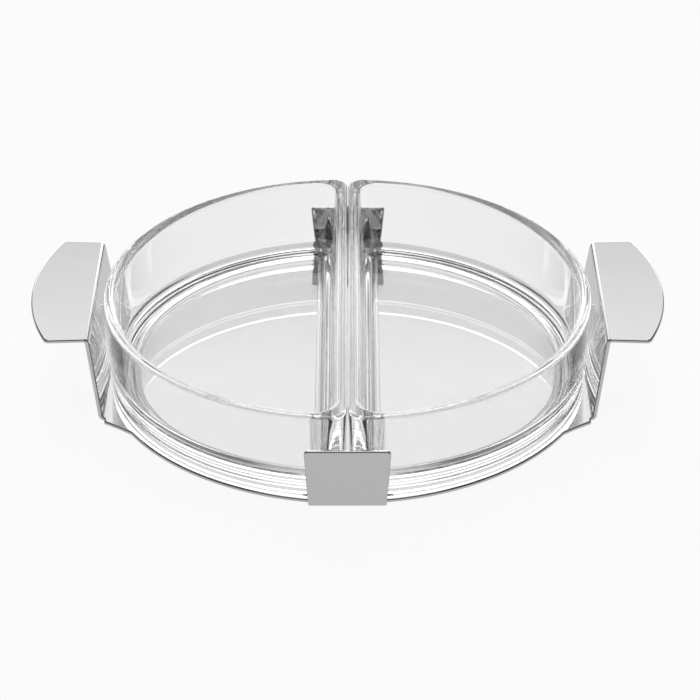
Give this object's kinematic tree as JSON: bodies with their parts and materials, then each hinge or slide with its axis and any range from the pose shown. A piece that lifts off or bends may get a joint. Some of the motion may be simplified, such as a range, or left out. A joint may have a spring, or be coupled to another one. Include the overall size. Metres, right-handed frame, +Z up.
{
  "type": "chip and dip server",
  "caption": "Round table server: two D-shaped clear glass dishes stand side by side on a polished steel tray bent up into two handles and two end stops.",
  "frame": {"origin": "on the table, below the middle of the tray's round base", "axes": "+Z up; +X along the line through the two handles, towards the right one; +Y away from the front stop"},
  "size_m": [0.3238, 0.2608, 0.0462],
  "materials": {
    "steel": "mirror-polished stainless steel",
    "glass": "clear pressed glass, fire-polished"
  },
  "bodies": {
    "tray": {"tray": "steel"},
    "left_dish": {"left_dish": "glass"},
    "right_dish": {"right_dish": "glass"}
  },
  "joints": [
    {"name": "left_dish_lift", "type": "slide", "parent": "tray", "child": "left_dish", "axis": [0, 0, 1], "range_m": [0, 0.06]},
    {"name": "right_dish_lift", "type": "slide", "parent": "tray", "child": "right_dish", "axis": [0, 0, 1], "range_m": [0, 0.06]}
  ]
}
